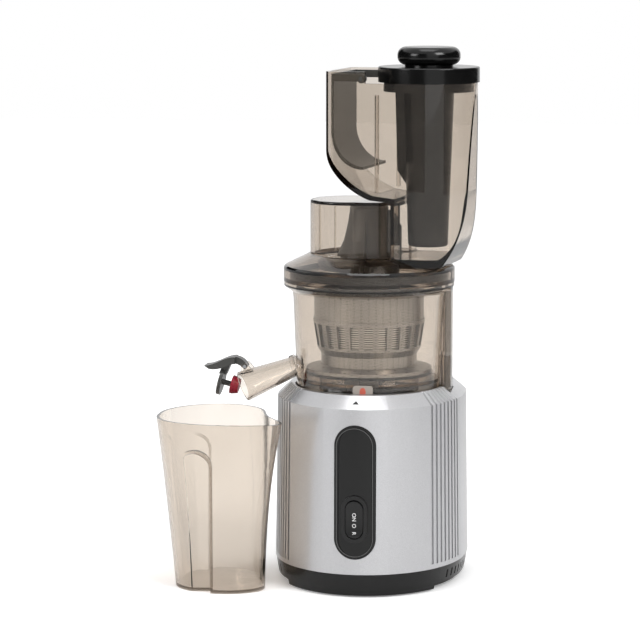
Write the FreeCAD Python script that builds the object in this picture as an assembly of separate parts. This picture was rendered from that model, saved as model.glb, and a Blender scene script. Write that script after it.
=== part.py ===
# Slow cold press juicer: a motor base with a three position switch, a clear juice bowl with its
# strainer and screw, a twist-on lid with the feed hopper, a pusher, and a separate juice jug.
# Millimetres. The origin is on the floor under the screw's axis, +Z is up, the switch panel
# faces -Y, and the juice spout points to -X.
import FreeCAD, Part
import os
from math import sin, cos, tan, atan2, radians, degrees, pi, sqrt

V = FreeCAD.Vector
UP = V(0, 0, 1)

# Clearances
gap = 0.3
run_fit = 0.06

# Motor base
base_half_width = 84.0
base_nose = 88.0
base_tail = 98.0
base_widest_y = 15.0
base_draft = 2.0
skirt_top = 20.5
skirt_tuck = 3.5
skirt_cut_height = 6.0
skirt_cut_half = 46.0
shoulder_z = 163.5
deck_rim_z = 174.0
bevel_inset = 11.5
shell_wall = 2.8
groove_count = 8
groove_width = 2.6
groove_depth = 1.5
groove_start = 49.0
groove_step = 3.65
foot_radius = 9.0
foot_height = 3.5
foot_x = 46.0
foot_front_y = -44.0
foot_back_y = 66.0

# Switch panel
panel_width = 36.0
panel_height = 116.0
panel_mid_z = 92.0
panel_depth = 1.6
panel_proud = 0.6
bezel_width = 23.0
bezel_height = 41.0
bezel_mid_z = 69.0
bezel_proud = 3.6
rocker_width = 15.0
rocker_height = 32.0
rocker_gap = 1.1
rocker_thick = 7.0
rocker_angle = 8.0

# Drive
shaft_radius = 8.0
coupling_flat = 16.0
coupling_gap = 0.25
coupling_foot = 184.0
coupling_top = 204.0
gearbox_radius = 46.0
gearbox_height = 50.0
motor_radius = 37.0
motor_height = 66.0

# Bowl
bowl_wall = 3.0
bowl_foot_radius = 63.3
bowl_top_radius = 66.3
rim_radius = 74.5
bowl_foot_z = 169.0
bowl_floor_z = 186.3
channel_z = 181.0
bowl_top_z = 265.0
bowl_neck_z = 250.0
recess_gap = 1.5
spigot_radius = 40.5
spigot_height = 8.0
hub_radius = 12.2

# Strainer
strainer_foot_radius = 55.0
collar_radius = 42.0
collar_top = 201.5
mesh_top_radius = 49.0
mesh_foot_radius = 45.3
mesh_foot_z = 208.0
mesh_top_z = 231.0
strainer_radius = 48.0
strainer_top = 258.0
strainer_wall = 2.6
window_count = 24
window_width = 7.4
mesh_thick = 0.6

# Screw
screw_gap = 0.8
screw_foot_z = 191.0
screw_core_top = 26.0
screw_core_foot = 32.0
screw_drum_top = 277.0
column_radius = 17.0
column_top = 331.5
pivot_radius = 5.0
flight_count = 4
flight_width = 7.0
flight_turn = 110.0
wing_radius = 28.5
wing_foot_radius = 45.0
wing_thick = 6.0

# Juice spout and its stopper
spout_root_sunk = 3.3
spout_root_x = spout_root_sunk - bowl_foot_radius
spout_root_z = 190.0
spout_end_x = -112.0
spout_end_z = 168.5
spout_root_radius = 8.0
spout_end_radius = 13.6
spout_wall = 2.4
spout_collar = 2.2
pivot_x = -110.0
pivot_z = 187.0
pin_radius = 1.5
ear_thick = 2.2
ear_gap = 0.3
lever_half = 5.0
lever_wing_half = 9.0
cap_disc_radius = 12.0
cap_disc_thick = 3.2
plug_radius = 8.2
plug_thick = 7.0
cap_rest_tilt = 14.0

# Pulp chute at the back
chute_width = 32.0
chute_height = 22.0
chute_end_y = 108.0
chute_mid_z = 190.0
chute_drop = 8.0

# Safety rod beside the bowl
column_reach = 1.7
column_cover = 5.0
column_x = max(bowl_top_radius, bowl_foot_radius) + column_reach
column_half_y = 10.0
column_outer_x = column_x + column_cover
rod_radius = 1.4
sleeve_radius = 3.6
sleeve_length = 31.0
rod_travel = 3.0

# Lid and feed hopper
hopper_turn = -7.0
lid_radius = 74.8
lid_wall = 3.0
lid_rim_top = 279.0
lid_cone_radius = 52.0
lid_cone_top = 289.5
plug_ring_radius = 62.3
plug_ring_foot = 258.0
turret_radius = 35.3
turret_x = -16.8
turret_top = 336.0
rotor_gap = 1.0
tube_radius = 42.5
tube_x = 53.0
tube_rim_z = 439.0
lobe_x = -29.0
lobe_rim_z = 449.0
lobe_step_x = 7.0
lobe_corner = 7.0
throat_floor_z = 288.5
throat_x = 30.0
throat_half = 24.0
throat_in_x = 20.0
rib_x = 15.5
rib_thick = 2.6
rib_depth = 4.5
rib_foot_z = 345.0

# Pusher
pusher_fit = 0.5
plunger_top_radius = 22.0
plunger_foot_radius = 17.2
plunger_foot_z = 297.0
cap_radius = 44.0
cap_thick = 13.2
insert_height = 8.0
knob_radius = 27.3
knob_height = 15.5
knob_edge = 7.0
neck_radius = 21.0
neck_height = 1.5
fin_reach = 7.0
fin_thick = 5.0
fin_foot_z = 362.0

# Swinging gate inside the hopper
gate_thick = 2.4
gate_fit = 2.0
gate_pin_x = 3.0
gate_pin_drop = 6.0
gate_pin_radius = 1.8
gate_tail_x = 5.0
gate_foot_z = 365.0
gate_bend_z = 400.0

# Juice jug
jug_x = -126.5
jug_y = -40.0
jug_turn = 8.0
jug_height = 149.5
jug_wall = 2.3
jug_floor = 3.0
grip_half = 13.0
grip_depth = 8.0
grip_top = 124.0
grip_front_a = -19.0
grip_back_a = -25.0


def disc(radius, z0, z1, x=0.0, y=0.0):
    return Part.makeCylinder(radius, z1 - z0, V(x, y, z0))


def tube(outer, inner, z0, z1, x=0.0, y=0.0):
    return disc(outer, z0, z1, x, y).cut(disc(inner, z0 - 1, z1 + 1, x, y))


def block(x0, x1, y0, y1, z0, z1):
    return Part.makeBox(x1 - x0, y1 - y0, z1 - z0, V(x0, y0, z0))


def polygon(points):
    return Part.makePolygon([V(*p) for p in points] + [V(*points[0])])


def spun(points, angle=360.0, start=0.0):
    face = Part.Face(polygon([(r, 0, z) for r, z in points]))
    solid = face.revolve(V(0, 0, 0), UP, angle)
    if start:
        solid.rotate(V(0, 0, 0), UP, start)
    return solid


def side_prism(points, y0, y1):
    face = Part.Face(polygon([(x, y0, z) for x, z in points]))
    return face.extrude(V(0, y1 - y0, 0))


def spline_through(points, closed=False):
    curve = Part.BSplineCurve()
    curve.interpolate([V(*p) for p in points], PeriodicFlag=closed)
    return curve.toShape()


def smooth_wire(points):
    return Part.Wire([spline_through(points, closed=True)])


def loft(wires, ruled=False):
    return Part.makeLoft(wires, True, ruled)


def stadium(width, height, y0, y1, z, x=0.0):
    # Upright oval prism, its flat faces square to Y.
    r = width / 2
    low = Part.makeCylinder(r, y1 - y0, V(x, y0, z - height / 2 + r), V(0, 1, 0))
    high = Part.makeCylinder(r, y1 - y0, V(x, y0, z + height / 2 - r), V(0, 1, 0))
    mid = block(x - r, x + r, y0, y1, z - height / 2 + r, z + height / 2 - r)
    return low.fuse([high, mid]).removeSplitter()


def hexagon(flat, z0, z1):
    r = flat / sqrt(3)
    points = [(r * cos(radians(60 * i)), r * sin(radians(60 * i)), z0) for i in range(6)]
    return Part.Face(polygon(points)).extrude(V(0, 0, z1 - z0))


def on_lid(shape):
    shape.rotate(V(0, 0, 0), UP, hopper_turn)
    return shape


def plan_point(angle, inset):
    # One point of the base's outline. Angle 0 is the nose, 90 the right flank, 180 the back.
    a = radians(angle)
    s, c = sin(a), cos(a)
    power = 1.0 if c > 0 else 0.62
    reach = base_nose + base_widest_y if c > 0 else base_tail - base_widest_y
    x = (base_half_width - inset) * abs(s) ** power
    y = (reach - inset) * abs(c) ** power
    return V(x if s > 0 else -x, base_widest_y + (y if c < 0 else -y), 0)


def plan_wire(z, inset):
    # Arcs from point to point round the outline, each through a third point midway.
    right = [20, 38, 56, 68, 80, 90, 102, 116, 130, 147, 164]
    angles = right + [180] + [360 - a for a in reversed(right)] + [360, 380]
    points = [plan_point(a, inset) + V(0, 0, z) for a in angles]
    arcs = [Part.Arc(points[i], points[i + 1], points[i + 2]).toShape()
            for i in range(0, len(points) - 2, 2)]
    return Part.Wire(arcs)


def base_block(z0, inset0, z1, inset1):
    return loft([plan_wire(z0, inset0), plan_wire(z1, inset1)], ruled=True)


# Base shell: drafted body with the chamfered shoulder, a recess for the bowl, grip grooves.
deck_z = bowl_foot_z - gap
recess_radius = bowl_foot_radius + recess_gap
bevel_top_inset = base_draft + bevel_inset
outer = base_block(skirt_top, 0.0, shoulder_z, base_draft)
outer = outer.fuse(base_block(shoulder_z, base_draft, deck_rim_z, bevel_top_inset))
cavity_top = deck_z - 3.0
inner = base_block(skirt_top - 1, shell_wall, shoulder_z - 6, base_draft + shell_wall)
inner = inner.fuse(base_block(shoulder_z - 6, base_draft + shell_wall,
                              cavity_top, bevel_top_inset + shell_wall))
grooves = []
for i in range(groove_count):
    for side in (1, -1):
        angle = side * (groove_start + i * groove_step)
        for z0, inset0, z1, inset1, deep in (
                (skirt_top + 4, 0.0, shoulder_z, base_draft, groove_depth),
                (shoulder_z, base_draft, deck_rim_z, bevel_top_inset, groove_depth * 1.4)):
            foot = plan_point(angle, inset0)
            head = plan_point(angle, inset1)
            over = 1.0 + 0.6 / (z1 - z0)
            head = foot + (head - foot) * over
            z1 = z0 + (z1 - z0) * over
            if inset0 > 0:
                foot = foot + (foot - head) * 0.05
                z0 = z0 - (z1 - z0) * 0.05
            ahead = plan_point(angle + 1.0, inset0)
            along = (ahead - foot).normalize() * (groove_width / 2)
            outward = V(along.y, -along.x, 0).normalize()
            if outward.dot(foot - V(0, base_widest_y, 0)) < 0:
                outward = outward * -1
            corners = [foot + along + outward * 6, foot - along + outward * 6,
                       foot - along - outward * deep, foot + along - outward * deep]
            face = Part.Face(Part.makePolygon([V(p.x, p.y, z0) for p in corners + corners[:1]]))
            lift = V(head.x - foot.x, head.y - foot.y, z1 - z0)
            grooves.append(face.extrude(lift))
shell = outer.cut(inner).cut(Part.makeCompound(grooves))
shell = shell.cut(disc(recess_radius, deck_z, deck_rim_z + 1))
notch_x = column_outer_x + 0.6
shell = shell.cut(block(column_x - 12, notch_x, -column_half_y - 0.6, column_half_y + 0.6,
                        deck_z, deck_rim_z + 1))
shell = shell.cut(disc(shaft_radius + 4, deck_z - 10, deck_z + 1))
shell = shell.cut(disc(rod_radius + 1.0, deck_z - 12, deck_z + 1, column_x))

# Locating spigot on the deck, which the bowl's inner ring drops over.
seat_ring = tube(spigot_radius, spigot_radius - 3, deck_z, deck_z + spigot_height)
shaft_seal = tube(shaft_radius + 7, shaft_radius + 0.3, deck_z, deck_z + 3)
shaft_seal = shaft_seal.cut(disc(shaft_radius + 4.2, deck_z - 1, deck_z + 1))
shaft_seal = shaft_seal.fuse(tube(shaft_radius + 3.8, shaft_radius + 0.3,
                                  deck_z - 2.5, deck_z + 2)).removeSplitter()

# Switch panel let into the front, its raised oval bezel and the rocker.
panel_cut = stadium(panel_width + 0.4, panel_height + 0.4, -base_nose - 5, -base_nose + 25,
                    panel_mid_z)
skin_in = base_block(skirt_top, panel_depth, shoulder_z, base_draft + panel_depth)
skin_out = base_block(skirt_top, -panel_proud, shoulder_z, base_draft - panel_proud)
shell = shell.cut(panel_cut.cut(skin_in))
panel = stadium(panel_width, panel_height, -base_nose - 5, -base_nose + 25, panel_mid_z)
panel = panel.cut(skin_in).common(skin_out)
hole_width = rocker_width + 2 * 0.5
hole_height = rocker_height + 2 * rocker_gap
rocker_hole = stadium(hole_width, hole_height, -base_nose - 9, -base_nose + 30, bezel_mid_z)
bezel_face_y = -base_nose - bezel_proud + 1.5
bezel = stadium(bezel_width, bezel_height, bezel_face_y, -base_nose + 22, bezel_mid_z)
bezel = bezel.cut(skin_out).cut(rocker_hole)
panel = panel.cut(rocker_hole)
shell = shell.cut(rocker_hole)
rocker_face_y = bezel_face_y - 1.2
rocker_axis_y = rocker_face_y + rocker_thick
rocker = stadium(rocker_width, rocker_height, rocker_face_y, rocker_axis_y + 1.5, bezel_mid_z)
dish = Part.makeCylinder(70, rocker_width + 4, V(-rocker_width / 2 - 2, rocker_face_y - 68.6,
                                                bezel_mid_z), V(1, 0, 0))
rocker = rocker.cut(dish)
switch_y = -base_nose + shell_wall + base_draft
box_half = hole_width / 2 + 1.6
box_half_z = hole_height / 2 + 1.6
switch_box = block(-box_half, box_half, switch_y, switch_y + 20,
                   bezel_mid_z - box_half_z, bezel_mid_z + box_half_z)
switch_ears = block(-box_half, box_half, switch_y, switch_y + 2,
                    bezel_mid_z - box_half_z - 4, bezel_mid_z + box_half_z + 4)
switch_box = switch_box.fuse(switch_ears).removeSplitter()
switch_box = switch_box.cut(block(1.6 - box_half, box_half - 1.6, switch_y - 1, switch_y + 5,
                                  bezel_mid_z - box_half_z + 1.6,
                                  bezel_mid_z + box_half_z - 1.6))

# Black skirt below the shell, with side cut-outs between its feet and a row of vents.
skirt = base_block(1.5, skirt_tuck, skirt_top, 0.2)
skirt = skirt.cut(base_block(0.5, skirt_tuck + shell_wall, skirt_top + 1, 0.2 + shell_wall))
skirt = skirt.cut(block(-base_half_width - 5, base_half_width + 5,
                        base_widest_y - 15 - skirt_cut_half, base_widest_y - 15 + skirt_cut_half,
                        0, skirt_cut_height))
vents = []
for i in range(9):
    y = -32.0 + i * 8.0
    vents.append(block(-base_half_width - 5, base_half_width + 5, y, y + 2.5, 9.0, 16.0))
skirt = skirt.cut(Part.makeCompound(vents))
plate_low = foot_height - 0.5
bottom_plate = base_block(plate_low, skirt_tuck + shell_wall + gap, plate_low + 3,
                          skirt_tuck + shell_wall + gap)
plate_slots = [block(-32, 32, y, y + 3, 0, 10) for y in (-20, -10, 0, 10, 20, 30)]
bottom_plate = bottom_plate.cut(Part.makeCompound(plate_slots))
feet_at = [(foot_x, foot_front_y), (-foot_x, foot_front_y), (foot_x, foot_back_y),
           (-foot_x, foot_back_y)]
feet = []
for x, y in feet_at:
    pad = disc(foot_radius, 0, plate_low, x, y)
    pad = pad.makeChamfer(0.6, [e for e in pad.Edges if e.BoundBox.ZMax < 0.01])
    feet.append(pad)
screw_at = [(foot_x - 14, foot_front_y), (14 - foot_x, foot_front_y),
            (foot_x - 14, foot_back_y), (14 - foot_x, foot_back_y)]
screws = []
for x, y in screw_at:
    bottom_plate = bottom_plate.cut(disc(2.1, 0, 20, x, y))
    head = disc(3.5, plate_low - 1.8, plate_low, x, y)
    head = head.fuse(disc(2.0, plate_low - 0.1, plate_low + 9, x, y)).removeSplitter()
    screws.append(head)

# Motor and gearbox hang under the deck.
gear_top = cavity_top - gap
gearbox = disc(gearbox_radius, gear_top - gearbox_height, gear_top)
gearbox = gearbox.makeChamfer(2.0, gearbox.Edges[:1] + gearbox.Edges[2:])
gearbox = gearbox.cut(disc(shaft_radius + run_fit, gear_top - 22, gear_top + 1))
motor_top = gear_top - gearbox_height
motor = disc(motor_radius, motor_top - motor_height, motor_top)
motor = motor.makeFillet(4.0, [e for e in motor.Edges if e.BoundBox.ZMax < motor_top - 1])
motor = motor.fuse(disc(9.0, motor_top - motor_height - 6, motor_top - motor_height + 1))
motor = motor.removeSplitter()
switch_top = deck_z - 8.0
micro_switch = block(column_x - 5, column_x + 4, -10, 10, switch_top - 11, switch_top)
micro_switch = micro_switch.fuse(block(gearbox_radius + gap, column_x - 4, -5, 5,
                                       switch_top - 11, switch_top - 8))
micro_switch = micro_switch.fuse(disc(rod_radius, switch_top - 1, deck_z - rod_travel - gap,
                                      column_x)).removeSplitter()
gland_z = 34.0
gland_axis = V(0, 1, 0)
tail_y = base_tail - base_draft * (gland_z - skirt_top) / (shoulder_z - skirt_top)
gland = Part.makeCylinder(9.5, 3.0, V(0, tail_y + 0.1, gland_z), gland_axis)
gland = gland.fuse(Part.makeCone(7.0, 5.4, 11.0, V(0, tail_y + 0.1, gland_z), gland_axis))
gland = gland.fuse(Part.makeCylinder(6.6, 10.0, V(0, tail_y - 9.5, gland_z), gland_axis))
gland = gland.cut(Part.makeCylinder(3.3, 60.0, V(0, tail_y - 30, gland_z), gland_axis))
gland = gland.removeSplitter()
shell = shell.cut(Part.makeCylinder(6.8, 30, V(0, tail_y - 20, gland_z), gland_axis))

# Output shaft and its six-sided coupling.
shaft = disc(shaft_radius, gear_top - 21, coupling_foot)
coupling = hexagon(coupling_flat, coupling_foot, coupling_top - 2)
coupling_tip = Part.makeLoft([hexagon(coupling_flat, 0, 1).Faces[-1].OuterWire.translated(
    V(0, 0, coupling_top - 3)), hexagon(coupling_flat - 4, 0, 1).Faces[-1].OuterWire.translated(
        V(0, 0, coupling_top - 1))], True, True)
coupling = coupling.fuse(coupling_tip).removeSplitter()

# Clear bowl: flared rim, a gutter round the strainer's seat, and a skirt that drops on the deck.
skirt_in = bowl_foot_radius - bowl_wall + 0.2
floor_under = bowl_floor_z - bowl_wall
gutter_in = strainer_foot_radius + 1.0
bowl_profile = [
    (hub_radius, bowl_floor_z + 3), (hub_radius + 2.8, bowl_floor_z + 3),
    (hub_radius + 2.8, bowl_floor_z), (gutter_in, bowl_floor_z), (gutter_in + 0.8, channel_z),
    (bowl_foot_radius - bowl_wall + 0.4, channel_z),
    (bowl_foot_radius - bowl_wall + 0.6, bowl_floor_z),
    (bowl_top_radius - bowl_wall, bowl_neck_z), (bowl_top_radius - bowl_wall + 0.9, 256.5),
    (rim_radius - bowl_wall, bowl_top_z - 2.4), (rim_radius - bowl_wall, bowl_top_z),
    (rim_radius, bowl_top_z), (rim_radius, bowl_top_z - 3.5), (bowl_top_radius + 1.0, 256.0),
    (bowl_top_radius, bowl_neck_z), (bowl_foot_radius + 0.6, bowl_floor_z),
    (bowl_foot_radius, bowl_foot_z), (skirt_in, bowl_foot_z), (skirt_in, channel_z - bowl_wall),
    (gutter_in - 2.4, channel_z - bowl_wall), (gutter_in - 4, floor_under),
    (spigot_radius + 3.2, floor_under), (spigot_radius + 3.2, bowl_foot_z + 1),
    (spigot_radius + 0.5, bowl_foot_z + 1), (spigot_radius + 0.5, floor_under),
    (hub_radius, floor_under)]
bowl = spun(bowl_profile)
bowl_envelope = spun([(0, bowl_foot_z - 5), (bowl_foot_radius + 0.05, bowl_foot_z - 5),
                      (bowl_foot_radius + 0.05, bowl_foot_z),
                      (bowl_foot_radius + 0.65, bowl_floor_z),
                      (bowl_top_radius + 0.05, bowl_neck_z), (bowl_top_radius + 1.05, 256.0),
                      (rim_radius + 0.05, bowl_top_z - 3.5), (rim_radius + 0.05, bowl_top_z + 5),
                      (0, bowl_top_z + 5)])
hub_seal = tube(hub_radius - 0.1, shaft_radius + 2.0, floor_under, bowl_floor_z + 2.5)

# Juice spout: a tube that widens to an oblique mouth, with a root collar and two hinge ears.
spout_root = V(spout_root_x, 0, spout_root_z)
spout_end = V(spout_end_x, 0, spout_end_z)
spout_dir = (spout_end - spout_root).normalize()
spout_length = (spout_end - spout_root).Length
spout_outer = Part.makeCone(spout_root_radius, spout_end_radius, spout_length,
                            spout_root, spout_dir)
collar_at = spout_root + spout_dir * 4.0
spout_outer = spout_outer.fuse(Part.makeCylinder(spout_root_radius + spout_collar, 4.0,
                                                 collar_at, spout_dir))
bore_slope = (spout_end_radius - spout_root_radius) / spout_length
bore = Part.makeCone(spout_root_radius - spout_wall - 8 * bore_slope,
                     spout_end_radius - spout_wall + 4 * bore_slope, spout_length + 12,
                     spout_root - spout_dir * 8, spout_dir)
ear_half = lever_half + ear_gap
ears = []
for side in (1, -1):
    y0 = ear_half if side > 0 else -ear_half - ear_thick
    ear = side_prism([(pivot_x - 3.2, pivot_z - 9), (pivot_x - 3.2, pivot_z + 1.5),
                      (pivot_x + 1.5, pivot_z + 3.2), (pivot_x + 9, pivot_z - 5),
                      (pivot_x + 9, pivot_z - 9)], y0, y0 + ear_thick)
    ears.append(ear)
pin = Part.makeCylinder(pin_radius, 2 * (ear_half + ear_thick),
                        V(pivot_x, -ear_half - ear_thick, pivot_z), V(0, 1, 0))
spout = spout_outer.fuse(ears).cut(bore).cut(pin).cut(bowl_envelope)
bowl = bowl.cut(bore)

# Stopper: a curved thumb lever, an outer disc, and a plug on a short stem.
def cap_point(distance, up):
    # From the pivot frame at rest: distance out along the stopper's axis, up across it.
    t = radians(cap_rest_tilt)
    return V(-distance * cos(t) - up * sin(t) * -1, 0, distance * sin(t) + up * cos(t))


cap_axis = V(-cos(radians(cap_rest_tilt)), 0, sin(radians(cap_rest_tilt)))
disc_centre = V(pivot_x - 22.0, 0, pivot_z - 14.6)
plug_centre = disc_centre - cap_axis * 13.0
lever_top = [(-146.0, 187.4), (-136.5, 189.6), (-128.3, 193.2), (-121.0, 195.2),
             (-115.5, 194.6), (-110.5, 191.4), (-107.6, 187.4)]
lever_low = [(-110.0, 184.0), (-114.5, 187.6), (-119.5, 189.2), (-126.0, 187.0),
             (-134.0, 184.6), (-142.0, 184.6)]
top_edge = spline_through([(x, 0, z) for x, z in lever_top])
low_edge = spline_through([(x, 0, z) for x, z in lever_low])
ends = [Part.makeLine(V(lever_top[-1][0], 0, lever_top[-1][1]),
                      V(lever_low[0][0], 0, lever_low[0][1])),
        Part.makeLine(V(lever_low[-1][0], 0, lever_low[-1][1]),
                      V(lever_top[0][0], 0, lever_top[0][1]))]
lever_face = Part.Face(Part.Wire([top_edge, ends[0], low_edge, ends[1]]))
lever = lever_face.extrude(V(0, 2 * lever_wing_half, 0))
lever.translate(V(0, -lever_wing_half, 0))
for side in (1, -1):
    y0 = lever_half if side > 0 else -lever_wing_half - 1
    lever = lever.cut(block(-118.5, -100, y0, y0 + lever_wing_half - lever_half + 1, 170, 200))
outer_disc = Part.makeCylinder(cap_disc_radius, cap_disc_thick,
                               disc_centre - cap_axis * (cap_disc_thick / 2), cap_axis)
neck = side_prism([(-133.5, 180.0), (-127.0, 179.0), (-123.0, 188.2), (-130.0, 188.0)],
                  -4.0, 4.0)
stem_length = 13.0 - plug_thick / 2
stem = Part.makeCylinder(2.4, stem_length, disc_centre - cap_axis * stem_length, cap_axis)
lever = lever.fuse([outer_disc, neck, stem]).removeSplitter()
lever = lever.cut(Part.makeCylinder(pin_radius + run_fit, 40, V(pivot_x, -20, pivot_z),
                                    V(0, 1, 0)))
plug_foot = plug_centre - cap_axis * (plug_thick / 2)
plug = Part.makeCone(plug_radius - 1.6, plug_radius, plug_thick - 2.0, plug_foot, cap_axis)
plug = plug.fuse(Part.makeCylinder(plug_radius, 2.0, plug_foot + cap_axis * (plug_thick - 2.0),
                                   cap_axis)).removeSplitter()

# Pulp chute at the back of the bowl.
def chute_block(width, height, y0, y1, extra):
    half = width / 2
    low = height / 2
    slope = chute_drop / (chute_end_y - bowl_foot_radius)
    z0 = chute_mid_z - slope * (y0 - bowl_foot_radius)
    z1 = chute_mid_z - slope * (y1 - bowl_foot_radius)
    root = polygon([(-half, y0, z0 - low), (half, y0, z0 - low), (half, y0, z0 + low),
                    (-half, y0, z0 + low)])
    tip = polygon([(-half - extra, y1, z1 - low), (half + extra, y1, z1 - low),
                   (half + extra, y1, z1 + low), (-half - extra, y1, z1 + low)])
    return loft([root, tip], ruled=True)


chute_sunk = 13.3
chute = chute_block(chute_width, chute_height, bowl_foot_radius - chute_sunk, chute_end_y, 2.0)
chute_bore = chute_block(chute_width - 2 * spout_wall, chute_height - 2 * spout_wall,
                         bowl_foot_radius - chute_sunk - 4, chute_end_y + 6, 2.0)
chute = chute.cut(chute_bore).cut(bowl_envelope)
bowl = bowl.cut(chute_bore)

# Clear column beside the bowl with the safety rod.
column_top_z = bowl_top_z - 4.0
column_body = block(column_x - 12, column_outer_x, -column_half_y, column_half_y,
                    bowl_foot_z, column_top_z)
upright = [e for e in column_body.Edges
           if abs(e.BoundBox.ZMin - e.BoundBox.ZMax) > 10 and e.BoundBox.XMin > column_x]
column_body = column_body.makeFillet(3.5, upright)
column_body = column_body.cut(disc(sleeve_radius + 0.4, bowl_foot_z - 1,
                                   bowl_foot_z + sleeve_length + rod_travel + 1, column_x))
column_body = column_body.cut(disc(rod_radius + 0.8, bowl_foot_z, column_top_z + 1, column_x))
column_body = column_body.cut(bowl_envelope)
bowl = bowl.cut(disc(rod_radius + 0.8, bowl_neck_z - 4, bowl_top_z + 1, column_x))
sleeve = disc(sleeve_radius, bowl_foot_z + rod_travel + gap, bowl_foot_z + sleeve_length,
              column_x)
sleeve = sleeve.cut(disc(rod_radius, bowl_foot_z, bowl_foot_z + 60, column_x))
rod = disc(rod_radius, bowl_foot_z + 0.5, bowl_top_z - gap, column_x)

# Strainer: a moulded frame with tall windows round a fine mesh.
wall = strainer_wall
frame_profile = [
    (strainer_foot_radius, bowl_floor_z + gap), (strainer_foot_radius, bowl_floor_z + 3.2),
    (collar_radius + 2, bowl_floor_z + 5), (collar_radius, bowl_floor_z + 6),
    (collar_radius, collar_top), (mesh_foot_radius, mesh_foot_z - 1),
    (mesh_top_radius, mesh_top_z), (mesh_top_radius, mesh_top_z + 2),
    (strainer_radius, mesh_top_z + 2), (strainer_radius, strainer_top),
    (strainer_radius - wall, strainer_top), (strainer_radius - wall, mesh_top_z),
    (mesh_foot_radius - wall, mesh_foot_z - 1), (collar_radius - wall, collar_top),
    (collar_radius - wall, bowl_floor_z + gap)]
strainer = spun(frame_profile)
windows = []
for i in range(window_count):
    window = block(30, 60, -window_width / 2, window_width / 2, mesh_foot_z + 1, mesh_top_z - 2)
    window.rotate(V(0, 0, 0), UP, (i + 0.5) * 360.0 / window_count)
    windows.append(window)
strainer = strainer.cut(Part.makeCompound(windows))
mesh = spun([
    (mesh_foot_radius - wall - 0.05, mesh_foot_z - 1), (strainer_radius - wall - 0.05, mesh_top_z),
    (strainer_radius - wall - 0.05 - mesh_thick, mesh_top_z),
    (mesh_foot_radius - wall - 0.05 - mesh_thick, mesh_foot_z - 1)])

# Screw: a drum with wound flights inside the strainer, a tall column and two sweeping wings.
flight_foot_r = collar_radius - wall - screw_gap
flight_mid_r = mesh_foot_radius - wall - mesh_thick - screw_gap
flight_top_r = strainer_radius - wall - mesh_thick - screw_gap
core = spun([(0, screw_foot_z), (flight_foot_r, screw_foot_z), (flight_foot_r, collar_top - 3),
             (screw_core_foot, collar_top + 3), (screw_core_top, screw_drum_top),
             (column_radius, screw_drum_top + 3), (column_radius, column_top - 2),
             (column_radius - 2, column_top), (pivot_radius, column_top),
             (pivot_radius, column_top + 3), (0, column_top + 3)])
levels = 6
flight_z0 = collar_top - 1
flight_z1 = strainer_top - 2
flights = []
for n in range(flight_count):
    wires = []
    for k in range(levels):
        f = k / (levels - 1)
        z = flight_z0 + f * (flight_z1 - flight_z0)
        if z < mesh_top_z:
            share = max(0.0, (z - collar_top) / (mesh_top_z - collar_top))
            reach = flight_foot_r + share * (flight_top_r - flight_foot_r)
        else:
            reach = flight_top_r
        turn = radians(n * 360.0 / flight_count + f * flight_turn)
        w = flight_width * (1 - 0.35 * f) / 2
        corners = [(screw_core_top - 6, -w), (reach, -w * 0.5), (reach, w * 0.5),
                   (screw_core_top - 6, w)]
        wires.append(polygon([(x * cos(turn) - y * sin(turn), x * sin(turn) + y * cos(turn), z)
                              for x, y in corners]))
    flights.append(loft(wires))
limit = spun([(0, screw_foot_z), (flight_foot_r, screw_foot_z), (flight_foot_r, collar_top),
              (flight_mid_r, mesh_foot_z - 1), (flight_top_r, mesh_top_z),
              (flight_top_r, strainer_top), (0, strainer_top)])
wing_profile = [(0, screw_drum_top - 4), (wing_foot_radius - 2, screw_drum_top - 4),
                (wing_foot_radius, screw_drum_top + 1), (wing_foot_radius - 1, 282.0),
                (wing_radius + 1, 283.5), (wing_radius - 1.5, 290.0),
                (wing_radius - 6.5, 301.0), (column_radius + 2, 314.0),
                (column_radius, 327.0), (0, 327.0)]
wing = spun(wing_profile, 118.0, 150.0)
blade = side_prism([(0, screw_drum_top - 4), (wing_foot_radius - 4, screw_drum_top - 4),
                    (wing_foot_radius - 4, 282.0), (wing_radius, 285.0), (wing_radius, 313.0),
                    (column_radius + 2, 327.0), (0, 327.0)], -wing_thick / 2, wing_thick / 2)
blade.rotate(V(0, 0, 0), UP, 8.0)
screw = core.fuse(wing).fuse(blade)
for flight in flights:
    screw = screw.fuse(flight.common(limit))
socket_top = coupling_top + 1
screw = screw.cut(disc(coupling_flat / sqrt(3) + 3.0, screw_foot_z - 1, socket_top))
socket = disc(coupling_flat / sqrt(3) + 3.0, screw_foot_z, socket_top)
socket = socket.cut(hexagon(coupling_flat + 2 * coupling_gap, screw_foot_z - 1, socket_top - 0.4))

# Lid with its offset turret, the feed hopper's round tube and flat-ended lobe, in one moulding.
rotor_in = wing_radius + rotor_gap
rotor_out = rotor_in + lid_wall
lid_foot = bowl_top_z + gap
roof_in = turret_top - lid_wall
lid_outer = spun([(0, lid_foot), (lid_radius, lid_foot), (lid_radius, lid_rim_top - 1.5),
                  (lid_radius - 1.5, lid_rim_top), (lid_cone_radius, lid_cone_top),
                  (0, lid_cone_top)])
lid_outer = lid_outer.fuse(disc(plug_ring_radius, plug_ring_foot, lid_foot + 1))
turret_out = disc(turret_radius, lid_cone_top - 8, turret_top, turret_x)
turret_out = turret_out.makeFillet(1.5, [e for e in turret_out.Edges
                                         if e.BoundBox.ZMin > turret_top - 0.1])
rotor_outer = disc(rotor_out, lid_cone_top - 8, turret_top)


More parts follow.
